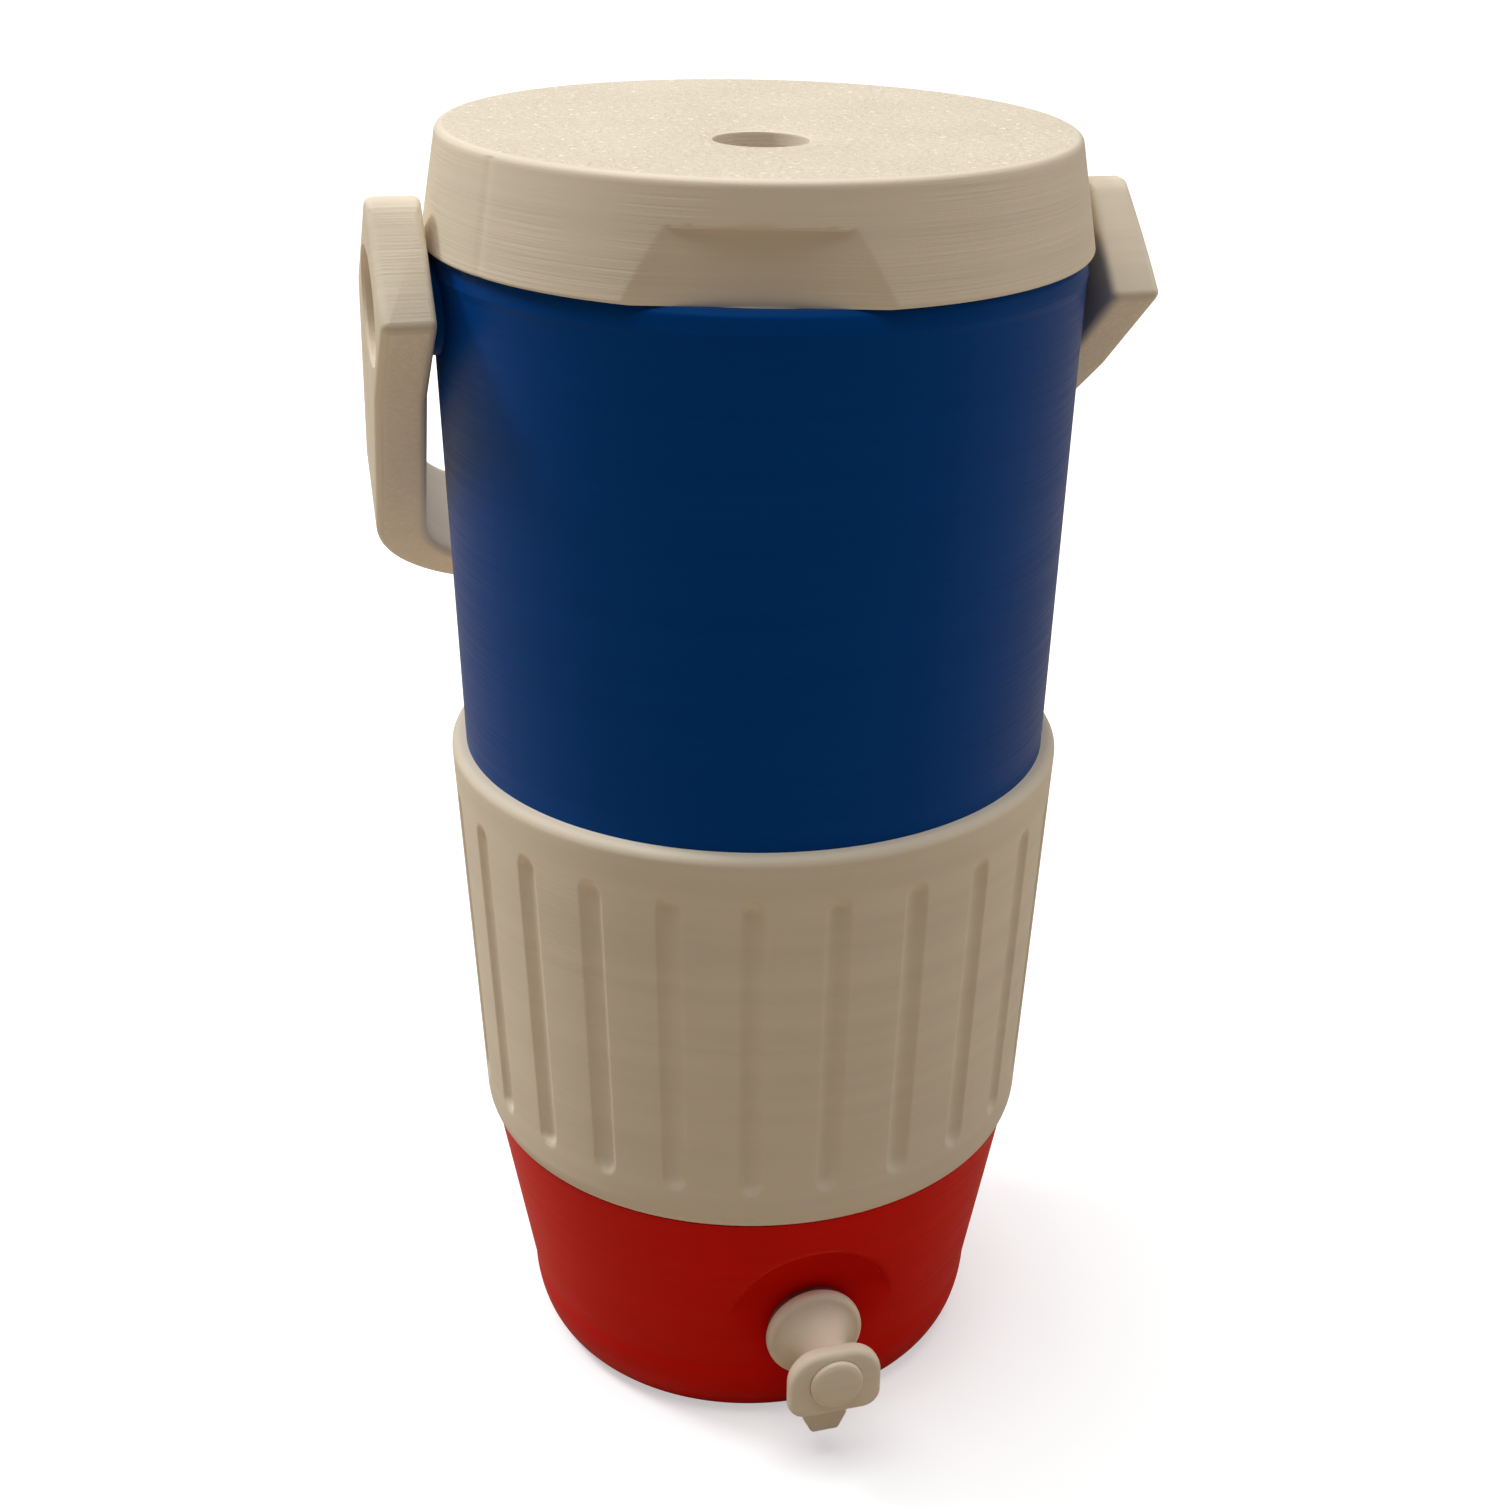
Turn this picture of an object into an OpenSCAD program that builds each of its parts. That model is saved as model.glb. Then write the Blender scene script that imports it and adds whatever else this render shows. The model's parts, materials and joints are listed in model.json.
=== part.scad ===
// Tumbler-size drinks dispenser: an insulated jug with a lift-off lid, a swinging bail handle and a
// push-button tap. Millimetres, +Z up. The origin is the centre of the foot, and the tap points along -Y.

/* [Vessel] */
// Height of the red base, up to the white band
base_h = 37; // [36:0.5:38]
// Height of the band's upper lip above the foot
band_top_z = 93; // [91:0.5:95]
// Height of the upper shell's rim, where the lid sits
rim_z = 158.2; // [157.2:0.2:159.2]
// Radius of the foot's flat underside
foot_r = 27.75; // [27:0.25:28]
// Radius of the base at the top of its rounded heel
heel_r = 32.25; // [32.25:0.05:32.5]
// Height of the rounded heel
heel_h = 9.6; // [9:0.2:10]
// Radius of the base at the band
base_top_r = 37; // [36.9:0.05:37.2]
// Radius of the upper shell where it leaves the band
shell_low_r = 38.6; // [38.5:0.05:38.7]
// Radius of the upper shell below its rim
shell_top_r = 40.3; // [40.2:0.05:40.4]
// Thickness of the outer shells
wall_t = 2.4; // [2.2:0.1:2.4]

/* [Grooved band] */
// Radius of the band just above its lower edge
band_low_r = 38.05; // [38:0.05:38.2]
// Radius of the band just below its upper lip
band_top_r = 40.5; // [40.3:0.05:40.6]
// Number of upright grooves
groove_n = 24; // [12:2:28]
// Depth of each groove
groove_depth = 0.8; // [0.4:0.1:1]
// Radius of the rounded cutter that forms a groove
groove_r = 2; // [1.6:0.1:2.2]
// Lowest point of the grooves
groove_low_z = 42.7; // [42:0.1:44]
// Highest point of the grooves
groove_high_z = 87.1; // [85:0.1:88]

/* [Lid] */
// Height of the lid above the rim
lid_h = 13.4; // [13:0.2:14]
// Radius of the lid at its lower edge
lid_r = 41; // [40.9:0.05:41.1]
// Radius of the lid at its flat top
lid_top_r = 38.6; // [38.2:0.1:38.8]
// Radius of the straw hole
straw_r = 5.5; // [3:0.1:6]
// Distance of the straw hole from the lid's centre
straw_offset = 12; // [10:0.5:16]
// Turn of the lid on its seat, seen from above, away from the tap
lid_turn = -15; // [-180:1:180]
// Distance of the finger notch's flat floor from the lid's centre
notch_floor = 38.17; // [38:0.05:38.6]
// Half-width of the finger notch at the lid's lower edge
notch_low_half = 15; // [12:0.5:16]
// Half-width of the finger notch at its top
notch_top_half = 10.7; // [8:0.1:11]
// Height of the finger notch
notch_h = 8.3; // [6:0.1:9]

/* [Bail handle] */
// Height of the pivot above the foot
pivot_z = 151.5; // [151:0.1:151.7]
// Angle that the handle leans back from hanging straight down
bail_lean = 50.5; // [45:0.5:60]
// Half the width across the outside of the arms at the pivots
bail_half_w = 47.7; // [47.6:0.1:48]
// Thickness of the strap at the pivots
hub_t = 6.4; // [6:0.1:6.4]
// Thickness of the strap at the grip
strap_t = 7; // [6:0.1:7]
// Half-width of the strap at the pivots
hub_half = 8.9; // [8.5:0.1:9]
// Half-width of the strap at the grip
grip_half = 7; // [6:0.1:7]
// Length of the handle from the pivots to the outside of the grip
bail_len = 82; // [82:0.5:86]
// Outer radius of the corners beside the grip
bail_corner_r = 27; // [22:0.5:28]

/* [Tap] */
// Height of the tap's axis above the foot
tap_z = 16.2; // [16:0.1:16.4]
// Radius of the tap's flange
flange_r = 6.7; // [6.4:0.1:7]
// Width of the tap's front plate
front_w = 12.8; // [12:0.1:13]
// Height of the front plate above the tap's axis
front_up = 4.9; // [4.7:0.1:5.2]
// Depth of the front plate below the tap's axis
front_down = 5.3; // [5:0.1:5.6]
// Radius of the push button
button_r = 3.6; // [3.4:0.05:3.7]
// How far the button stands out at rest
button_proud = 0.8; // [0.7:0.05:1]
// Height of the spout's tip above the foot
spout_tip_z = 4.2; // [3:0.1:6]

/* [Hidden] */
$fn = 96;

// Colours
RED = [0.85, 0.13, 0.05];
WHITE = [0.93, 0.89, 0.82];
BLUE = [0.03, 0.27, 0.6];
LINER_GREY = [0.86, 0.87, 0.86];
FOAM = [0.93, 0.91, 0.7];
RUBBER = [0.15, 0.15, 0.16];
STEEL = [0.72, 0.73, 0.75];

cut = 0.5; // how far a cutter runs past the face that it opens
glue_gap = 0.15; // gap round the insulation and the liner
press_gap = 0.1; // radial gap between shells that push together
run_gap = 0.06; // radial clearance of a turning or sliding fit
arc_step = 90 / 8; // angle between the points of a short arc

// Base
base_floor = 2.8; // thickness of the base's floor
spigot_r = 36; // the base's neck, inside the band
spigot_z = 44; // top of that neck
spigot_bore = 34.2; // inside radius of that neck
pad_y = 32.2; // flat floor of the tap's pocket, from the vessel's axis
pad_back_y = 30; // inner face of the wall behind that pocket
pad_half = 11.4; // half-width of the pocket, and the radius of its arched top
pad_arch_z = 17; // height at which the arch begins
pad_rim = 2; // wall left round the pocket, inside the base

// Band and upper shell
band_bore = 36.4; // inside radius of the band, and of the upper shell's foot
seat_r = 38.5; // radius of the upper shell's foot, inside the band
seat_z = 85; // height of the ledge that carries it
lip_r = 1.2; // rounding of the band's upper lip
curl_r = 1.6; // rounding of the band's lower edge
rim_bevel_h = 3; // height of the bevel below the rim
rim_bevel = 0.4; // how far that bevel leans in
shell_bore = shell_top_r - wall_t + 0.2; // inside radius of the upper shell at its rim
boss_r = 6; // bosses that carry the pivot pins
boss_face = 41.05; // outer face of a boss, from the vessel's axis
boss_back = 36; // inner end of a boss
pin_r = 2.5; // shank of a pivot pin

// Liner: inner drinks vessel
liner_t = 1.8; // wall thickness
liner_floor_z = 6; // underside of its floor
liner_floor_t = 2;
liner_foot_r = 23.5;
liner_heel = [27.4, 11]; // radius and height of each break in its outer wall
liner_knee = [29.6, 30.5];
liner_waist = [32.2, 44];
liner_top_r = 35.1;
liner_flange_r = 38.4;
liner_flange_t = 1.6;
tap_boss_r = 8.5; // flat boss that the tap passes through
tap_boss_in_y = 25.4; // its inner face, from the vessel's axis
nut_room_r = 7.4; // flat recess for the nut

// Lid
skirt_bore = 36.4; // inside radius of the lid's skirt
lid_top_t = 2.4;
lid_edge = 0.8; // rounding of the lid's upper edge
straw_tube_r = straw_r + 1.5;
plug_r = 32.9; // pan that enters the liner
plug_t = 1.8;
plug_low_z = 150.2;
gasket_z = 154.1;
gasket_sec = 1.1; // section radius of the lid's sealing ring
gasket_out_r = 33.12;
notch_bevel = 2; // how far the notch's side walls spread outward

// Handle
bail_top_u = -11.8; // flat end of each arm, measured from the pivot along the arm
arm_straight_u = 8; // the arms are upright to here, and lean in beyond it
arm_lean_in = 2.4; // how far they lean in by the grip's corners
hub_round = 2.8; // rounding of the arm's rear upper corner
grip_round = 1; // rounding of the grip's long edges
recess_r = 6.8; // round recess for the pin's head
recess_depth = 3.1;
head_r = 4.6;
head_t = 1.7;
head_gap = 0.1;

// Tap: h runs outward along its axis, from the vessel's axis
shank_r = 4;
shank_hole_r = 4.15;
water_r = 2.2; // bore through the shank
shank_in_h = 20.8; // inner end of the shank, and seat of the valve seal
washer_t = 1;
washer_r = 6.2;
flange_t = 1.7;
neck_r = 3.1;
neck_h = 40;
flare_r = 3.9; // radius of the neck where it meets the front plate
front_back_h = 42.2; // rear face of the front plate
front_face_h = 44.6; // front face of it
front_top_r = 4.6;
front_low_r = 2.5;
water_end_h = 40.4; // front end of the water's bore
spring_floor_h = 41; // floor of the spring's bore
spring_bore_r = 2.1;
chamber_h = 42.9; // floor of the button's bore
spout_half = 3.1; // half-width of the spout
spout_tip_half = 1.9; // half-width at its tip
spout_taper = 2.5; // height of its tapered end
spout_back_h = 37.3;
spout_face_h = 40.3;
outlet_r = 1;
outlet_h = 38.8;
button_back_h = 43.7;
button_edge = 0.3;
ring_h = 44.1; // centre of the button's sealing ring
ring_sec = 0.24;
ring_room = 0.5; // width of its groove
ring_floor_r = button_r - 0.5;
stem_r = 0.9;
stem_head_r = 1.7;
stem_head_t = 0.8;
seal_r = 3.2;
seal_t = 1.2;
nut_r = 6.6; // across the corners
nut_t = 3;
spring_r = 1.5; // mean radius of the return spring
spring_wire_r = 0.2;
spring_turns = 3.5;
spring_sides = 8;
spring_rings = 14; // rings of the sweep in one turn
spring_gap = 0.02;

function lerp(a, b, t) = a + (b - a) * t;

// Radius at height z of a cone through two points given as [radius, height]
function cone_r(low, high, z) = lerp(low[0], high[0], (z - low[1]) / (high[1] - low[1]));

// Quarter ellipse, as points from angle a0 to a1
function arc(centre, rx, ry, a0, a1) =
    [for (i = [0 : abs(a1 - a0) / arc_step])
        let (a = a0 + i * arc_step * sign(a1 - a0))
        [centre[0] + rx * cos(a), centre[1] + ry * sin(a)]];

function shell_out_r(z) = cone_r([shell_low_r, band_top_z], [shell_top_r, rim_z], z);
function band_out_r(z) = cone_r([band_low_r, base_h], [band_top_r, band_top_z], z);
function lid_out_r(z) = cone_r([lid_r, rim_z], [lid_top_r, rim_z + lid_h], z);

// Outer outline of the liner, widened by gap
function liner_outline(gap) = [
    [liner_foot_r + gap, liner_floor_z - gap],
    [liner_heel[0] + gap, liner_heel[1] - gap],
    [liner_knee[0] + gap, liner_knee[1]],
    [liner_waist[0] + gap, liner_waist[1]],
    [liner_top_r + gap, rim_z - liner_flange_t]
];

// Turns an upright shape to lie along the tap's axis
module along_tap() translate([0, 0, tap_z]) rotate([90, 0, 0]) children();

// Turns an upright shape to point along +X from the pivot's height
module along_pivot() translate([0, 0, pivot_z]) rotate([0, 90, 0]) children();

module ring(r_out, r_in, low, high) {
    translate([0, 0, low]) difference() {
        cylinder(r = r_out, h = high - low);
        translate([0, 0, -cut]) cylinder(r = r_in, h = high - low + 2 * cut);
    }
}

// --- Vessel ---

module base_outer() {
    rotate_extrude() polygon(concat(
        [[0, 0]],
        arc([foot_r, heel_h], heel_r - foot_r, heel_h, -90, 0),
        [[base_top_r, base_h], [spigot_r, base_h], [spigot_r, spigot_z], [0, spigot_z]]
    ));
}

// Hollow of the base, drawn in by gap
module base_hollow(gap, top) {
    heel_in_r = foot_r - wall_t - gap;
    rotate_extrude() polygon(concat(
        [[0, base_floor]],
        arc([heel_in_r, heel_h], heel_r - foot_r, heel_h - base_floor, -90, 0),
        [[spigot_bore - gap, base_h], [spigot_bore - gap, top], [0, top]]
    ));
}

// Block behind the tap's pocket, which keeps the wall whole there
module pad_block(gap) {
    half = pad_half + pad_rim + gap;
    low = base_floor;
    high = pad_arch_z + pad_half + pad_rim + gap;
    deep = base_top_r + cut - pad_back_y + gap;
    translate([-half, -base_top_r - cut, low]) cube([2 * half, deep, high - low]);
}

module arch_pocket() {
    depth = base_top_r - pad_y + cut;
    translate([0, -pad_y, 0]) rotate([90, 0, 0]) linear_extrude(depth) {
        translate([0, pad_arch_z]) circle(pad_half);
        translate([-pad_half, 0]) square([2 * pad_half, pad_arch_z]);
    }
}

module base_shell() {
    color(RED) difference() {
        union() {
            difference() {
                base_outer();
                base_hollow(0, spigot_z + cut);
            }
            intersection() {
                base_outer();
                pad_block(0);
            }
        }
        arch_pocket();
        along_tap() cylinder(r = shank_hole_r, h = base_top_r);
    }
}

module groove() {
    low = groove_low_z + groove_r;
    high = groove_high_z - groove_r;
    inset = groove_r - groove_depth;
    low_r = band_out_r(low) + inset;
    lean = atan((band_out_r(high) - band_out_r(low)) / (high - low));
    run = (high - low) / cos(lean);
    translate([0, -low_r, low]) rotate([lean, 0, 0]) {
        cylinder(r = groove_r, h = run);
        sphere(r = groove_r);
        translate([0, 0, run]) sphere(r = groove_r);
    }
}

module ribbed_band() {
    curl_in_r = band_out_r(base_h) - curl_r;
    lip_in_r = band_top_r - lip_r;
    color(WHITE) difference() {
        rotate_extrude() polygon(concat(
            arc([curl_in_r, base_h + 2 * curl_r], curl_r, 2 * curl_r, -90, 0),
            arc([lip_in_r, band_top_z - lip_r], lip_r, lip_r, 0, 90),
            [[seat_r, band_top_z], [seat_r, seat_z], [band_bore, seat_z]],
            [[band_bore, spigot_z], [spigot_r + press_gap, spigot_z], [spigot_r + press_gap, base_h]]
        ));
        for (i = [0 : groove_n - 1]) rotate([0, 0, i * 360 / groove_n]) groove();
    }
}

module upper_shell() {
    bevel_z = rim_z - rim_bevel_h;
    bevel_r = shell_out_r(bevel_z);
    flange_z = rim_z - liner_flange_t;
    foot_r_out = seat_r - press_gap;
    flange_seat_r = liner_flange_r + glue_gap;
    color(BLUE) difference() {
        union() {
            rotate_extrude() polygon([
                [band_bore, seat_z], [foot_r_out, seat_z], [foot_r_out, band_top_z],
                [shell_low_r, band_top_z], [bevel_r, bevel_z], [bevel_r - rim_bevel, rim_z],
                [shell_bore, rim_z], [shell_bore, flange_z]
            ]);
            for (side = [0, 1]) mirror([side, 0, 0]) along_pivot()
                translate([0, 0, boss_back]) cylinder(r = boss_r, h = boss_face - boss_back);
        }
        for (side = [0, 1]) mirror([side, 0, 0]) along_pivot()
            translate([0, 0, boss_back - cut]) cylinder(r = pin_r, h = boss_face - boss_back + 2 * cut);
        translate([0, 0, flange_z]) cylinder(r = flange_seat_r, h = liner_flange_t + cut);
    }
}

module liner() {
    inner_knee_r = liner_knee[0] - liner_t;
    inner_waist_r = liner_waist[0] - liner_t;
    floor_top = liner_floor_z + liner_floor_t;
    color(LINER_GREY) difference() {
        union() {
            rotate_extrude() polygon(concat(
                [[0, liner_floor_z]],
                liner_outline(0),
                [[liner_flange_r, rim_z - liner_flange_t], [liner_flange_r, rim_z]],
                [[liner_top_r - liner_t, rim_z], [inner_waist_r, liner_waist[1]]],
                [[inner_knee_r, liner_knee[1]], [liner_heel[0] - liner_t, liner_heel[1] + cut]],
                [[liner_foot_r - cut, floor_top], [0, floor_top]]
            ));
            intersection() {
                along_tap() translate([0, 0, tap_boss_in_y])
                    cylinder(r = tap_boss_r, h = pad_back_y - tap_boss_in_y);
                base_hollow(glue_gap, spigot_z);
            }
        }
        along_tap() translate([0, 0, shank_in_h]) {
            cylinder(r = nut_room_r, h = tap_boss_in_y - shank_in_h);
            cylinder(r = shank_hole_r, h = pad_back_y - shank_in_h + cut);
        }
    }
}

module foam_cup() {
    color(FOAM) difference() {
        base_hollow(glue_gap, spigot_z);
        rotate_extrude() polygon(concat(
            [[0, liner_floor_z - glue_gap]],
            [for (p = liner_outline(glue_gap)) if (p[1] <= spigot_z) p],
            [[liner_waist[0] + glue_gap, spigot_z + cut], [0, spigot_z + cut]]
        ));
        pad_block(glue_gap);
        along_tap() cylinder(r = tap_boss_r + glue_gap, h = pad_back_y + cut);
    }
}

module foam_sleeve() {
    low = spigot_z;
    high = rim_z - liner_flange_t - glue_gap;
    outer_low = band_bore - glue_gap;
    outer_high = shell_bore - glue_gap;
    inner_low = liner_waist[0] + glue_gap;
    color(FOAM) difference() {
        rotate_extrude() polygon([
            [inner_low, low], [outer_low, low], [outer_low, seat_z],
            [cone_r([outer_low, seat_z], [outer_high, high], high), high], [liner_top_r + glue_gap, high]
        ]);
        for (side = [0, 1]) mirror([side, 0, 0]) along_pivot()
            translate([0, 0, boss_back - cut]) cylinder(r = boss_r + glue_gap, h = boss_face - boss_back);
    }
}

// --- Lid ---

// Cutter for one finger notch: a flat floor with side walls that spread outward
module finger_notch() {
    sheet = 0.01;
    reach = lid_r - notch_floor + cut;
    hull() {
        translate([0, -notch_floor, rim_z]) rotate([90, 0, 0]) linear_extrude(sheet)
            notch_outline(0);
        translate([0, -notch_floor - reach, rim_z]) rotate([90, 0, 0]) linear_extrude(sheet)
            notch_outline(notch_bevel);
    }
}

module notch_outline(spread) {
    low = notch_low_half + spread;
    high = notch_top_half + spread;
    polygon([[-low, -cut], [low, -cut], [high, notch_h + spread / 2], [-high, notch_h + spread / 2]]);
}

module lid_cap() {
    top = rim_z + lid_h;
    under = top - lid_top_t;
    color(WHITE) rotate([0, 0, lid_turn]) difference() {
        union() {
            rotate_extrude() polygon(concat(
                [[skirt_bore, rim_z], [lid_r, rim_z]],
                arc([lid_out_r(top - lid_edge) - lid_edge, top - lid_edge], lid_edge, lid_edge, 0, 90),
                [[0, top], [0, under], [skirt_bore, under]]
            ));
            translate([0, -straw_offset, plug_low_z]) cylinder(r = straw_tube_r, h = under - plug_low_z);
        }
        translate([0, -straw_offset, plug_low_z - cut]) cylinder(r = straw_r, h = top - plug_low_z + 2 * cut);
        finger_notch();
        rotate([0, 0, 180]) finger_notch();
    }
}

module lid_plug() {
    under = rim_z + lid_h - lid_top_t;
    groove_half = gasket_sec;
    groove_in = gasket_out_r - 2 * gasket_sec - run_gap;
    color(LINER_GREY) rotate([0, 0, lid_turn]) difference() {
        rotate_extrude() polygon([
            [0, plug_low_z], [plug_r, plug_low_z],
            [plug_r, gasket_z - groove_half], [groove_in, gasket_z - groove_half],
            [groove_in, gasket_z + groove_half], [plug_r, gasket_z + groove_half],
            [plug_r, under], [groove_in - plug_t, under],
            [groove_in - plug_t, plug_low_z + plug_t], [0, plug_low_z + plug_t]
        ]);
        translate([0, -straw_offset, plug_low_z - cut])
            cylinder(r = straw_tube_r + press_gap, h = plug_t + 2 * cut);
    }
}

module lid_foam() {
    low = plug_low_z + plug_t;
    high = rim_z + lid_h - lid_top_t;
    disc_r = gasket_out_r - 2 * gasket_sec - plug_t - glue_gap;
    color(FOAM) rotate([0, 0, lid_turn]) difference() {
        translate([0, 0, low]) cylinder(r = disc_r, h = high - low);
        translate([0, -straw_offset, low - cut])
            cylinder(r = straw_tube_r + glue_gap, h = high - low + 2 * cut);
    }
}

module lid_gasket() {
    color(RUBBER) rotate_extrude()
        translate([gasket_out_r - gasket_sec, gasket_z]) circle(gasket_sec);
}

// --- Bail handle ---

// Outline of the handle: x across, y down the arms. It's drawn in by hub_inset at the pivots and by inset
// at the grip.
module bail_outline(hub_inset, inset) {
    wide = bail_half_w - hub_inset;
    low_wide = bail_half_w - arm_lean_in - inset;
    corner = bail_corner_r - inset;
    corner_u = bail_len - bail_corner_r;
    far = bail_len - inset;
    polygon([
        [-wide, bail_top_u], [wide, bail_top_u], [wide, arm_straight_u], [low_wide, corner_u],
        [-low_wide, corner_u], [-wide, arm_straight_u]
    ]);
    for (side = [-1, 1]) translate([side * (low_wide - corner), corner_u]) circle(corner);
    translate([corner - low_wide, 0]) square([2 * (low_wide - corner), far]);
}

// Side view of the strap: x across its width, y down the arms
module strap_outline() {
    corner_u = bail_len - bail_corner_r;
    tip = grip_half - grip_round;
    polygon(concat(
        [[-hub_half, bail_top_u]],
        arc([hub_half - hub_round, bail_top_u + hub_round], hub_round, hub_round, -90, 0),
        [[hub_half, arm_straight_u], [grip_half, corner_u]],
        arc([tip, bail_len - grip_round], grip_round, grip_round, 0, 90),
        arc([-tip, bail_len - grip_round], grip_round, grip_round, 90, 180),
        [[-grip_half, corner_u], [-hub_half, arm_straight_u]]
    ));
}

module bail_handle() {
    depth = 2 * hub_half;
    color(WHITE) translate([0, 0, pivot_z]) rotate([bail_lean, 0, 0]) difference() {
        intersection() {
            translate([0, -hub_half, 0]) rotate([-90, 0, 0]) linear_extrude(depth) difference() {
                bail_outline(0, 0);
                bail_window();
            }
            translate([-bail_half_w, 0, 0]) rotate([0, 90, 0]) rotate([0, 0, 90])
                linear_extrude(2 * bail_half_w) mirror([0, 1]) strap_outline();
        }
        rotate([0, 90, 0]) cylinder(r = pin_r + run_gap, h = 2 * bail_half_w + 2 * cut, center = true);
        for (side = [0, 1]) mirror([side, 0, 0]) translate([bail_half_w - recess_depth, 0, 0])
            rotate([0, 90, 0]) cylinder(r = recess_r, h = recess_depth + cut);
    }
}

// Space inside the handle, open at the top between the arms
module bail_window() {
    bail_outline(hub_t, strap_t);
    wide = bail_half_w - hub_t;
    translate([-wide, bail_top_u - cut]) square([2 * wide, cut + arm_straight_u]);
}

module pivot_pin() {
    head_low = bail_half_w - recess_depth + head_gap;
    head_high = head_low + head_t;
    soft = head_t / 2;
    along_pivot() rotate_extrude() polygon(concat(
        [[0, boss_back], [pin_r, boss_back], [pin_r, head_low], [head_r, head_low]],
        arc([head_r - soft, head_high - soft], soft, soft, 0, 90),
        [[0, head_high]]
    ));
}

module right_pivot_pin() color(WHITE) pivot_pin();
module left_pivot_pin() color(WHITE) mirror([1, 0, 0]) pivot_pin();

// --- Tap ---

// Rounded front plate of the tap, with softer corners at the top
module front_outline() {
    half_w = front_w / 2;
    for (side = [-1, 1]) {
        translate([side * (half_w - front_top_r), front_up - front_top_r]) circle(front_top_r);
        translate([side * (half_w - front_low_r), front_low_r - front_down]) circle(front_low_r);
    }
    translate([front_low_r - half_w, -front_down]) square([front_w - 2 * front_low_r, front_down]);
    translate([front_top_r - half_w, 0]) square([front_w - 2 * front_top_r, front_up]);
    translate([-half_w, front_low_r - front_down])
        square([front_w, front_up + front_down - front_low_r - front_top_r]);
}

// Spout that hangs below the neck, seen along the tap
module spout_outline() {
    tip = spout_tip_z - tap_z;
    polygon([
        [-spout_half, 0], [-spout_half, tip + spout_taper], [-spout_tip_half, tip],
        [spout_tip_half, tip], [spout_half, tip + spout_taper], [spout_half, 0]
    ]);
}

module tap_body() {
    flange_h = pad_y + washer_t;
    edge = flange_t / 2;
    throat_r = flange_r - edge;
    throat_h = flange_h + flange_t;
    flare = flare_r - neck_r;
    color(WHITE) along_tap() difference() {
        union() {
            rotate_extrude() polygon(concat(
                [[0, shank_in_h], [shank_r, shank_in_h], [shank_r, flange_h]],
                [[flange_r, flange_h]],
                arc([throat_r, flange_h + edge], edge, edge, 0, 90),
                arc([throat_r, neck_h], neck_r - throat_r, throat_h - neck_h, 90, 0),
                arc([flare_r, front_back_h - flare], flare, flare, 180, 90),
                [[0, front_back_h]]
            ));
            translate([0, 0, front_back_h]) linear_extrude(front_face_h - front_back_h) front_outline();
            translate([0, 0, spout_back_h]) linear_extrude(spout_face_h - spout_back_h) spout_outline();
        }
        translate([0, 0, shank_in_h - cut]) cylinder(r = water_r, h = water_end_h - shank_in_h + cut);
        cylinder(r = stem_r + run_gap, h = front_back_h);
        translate([0, 0, spring_floor_h]) cylinder(r = spring_bore_r, h = chamber_h - spring_floor_h + cut);
        translate([0, 0, chamber_h]) cylinder(r = button_r + run_gap, h = front_face_h - chamber_h + cut);
        translate([0, spout_tip_z - tap_z - cut, outlet_h]) rotate([-90, 0, 0])
            cylinder(r = outlet_r, h = tap_z - spout_tip_z - stem_r + cut);
    }
}

module tap_button() {
    face = front_face_h + button_proud;
    color(WHITE) along_tap() rotate_extrude() polygon([
        [0, button_back_h], [button_r, button_back_h],
        [button_r, ring_h - ring_room / 2], [ring_floor_r, ring_h - ring_room / 2],
        [ring_floor_r, ring_h + ring_room / 2], [button_r, ring_h + ring_room / 2],
        [button_r, face - button_edge], [button_r - button_edge, face], [0, face]
    ]);
}

module button_ring() {
    color(RUBBER) along_tap() rotate_extrude() translate([button_r - ring_sec, ring_h]) circle(ring_sec);
}

module valve_stem() {
    seal_h = shank_in_h - seal_t;
    color(STEEL) along_tap() {
        translate([0, 0, seal_h - stem_head_t]) cylinder(r = stem_head_r, h = stem_head_t);
        translate([0, 0, seal_h]) cylinder(r = stem_r, h = button_back_h - seal_h);
    }
}

module valve_seal() {
    color(RUBBER) along_tap() ring(seal_r, stem_r, shank_in_h - seal_t, shank_in_h);
}

module outer_gasket() {
    color(RUBBER) along_tap() ring(washer_r, shank_r, pad_y, pad_y + washer_t);
}

module inner_gasket() {
    color(RUBBER) along_tap() ring(washer_r, shank_r, tap_boss_in_y - washer_t, tap_boss_in_y);
}

module lock_nut() {
    high = tap_boss_in_y - washer_t;
    color(LINER_GREY) along_tap() translate([0, 0, high - nut_t]) difference() {
        cylinder(r = nut_r, h = nut_t, $fn = 6);
        translate([0, 0, -cut]) cylinder(r = shank_r, h = nut_t + 2 * cut);
    }
}

// One ring of the spring's wire at turn t, between heights low and high
function wire_ring(t, low, high) =
    let (a = 360 * t, h = lerp(low, high, t / spring_turns))
    [for (k = [0 : spring_sides - 1])
        let (b = 360 * k / spring_sides, r = spring_r + spring_wire_r * cos(b))
        [r * cos(a), r * sin(a), h + spring_wire_r * sin(b)]];

module return_spring() {
    low = spring_floor_h + spring_wire_r + spring_gap;
    high = button_back_h - spring_wire_r - spring_gap;
    n = spring_turns * spring_rings;
    last = n * spring_sides;
    points = [for (i = [0 : n]) each wire_ring(i / spring_rings, low, high)];
    sides = [for (i = [0 : n - 1]) for (k = [0 : spring_sides - 1])
        let (j = i * spring_sides, k2 = (k + 1) % spring_sides)
        [j + k, j + spring_sides + k, j + spring_sides + k2, j + k2]];
    ends = [
        [for (k = [0 : spring_sides - 1]) k],
        [for (k = [spring_sides - 1 : -1 : 0]) last + k]
    ];
    color(STEEL) along_tap() polyhedron(points, concat(sides, ends));
}

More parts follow.
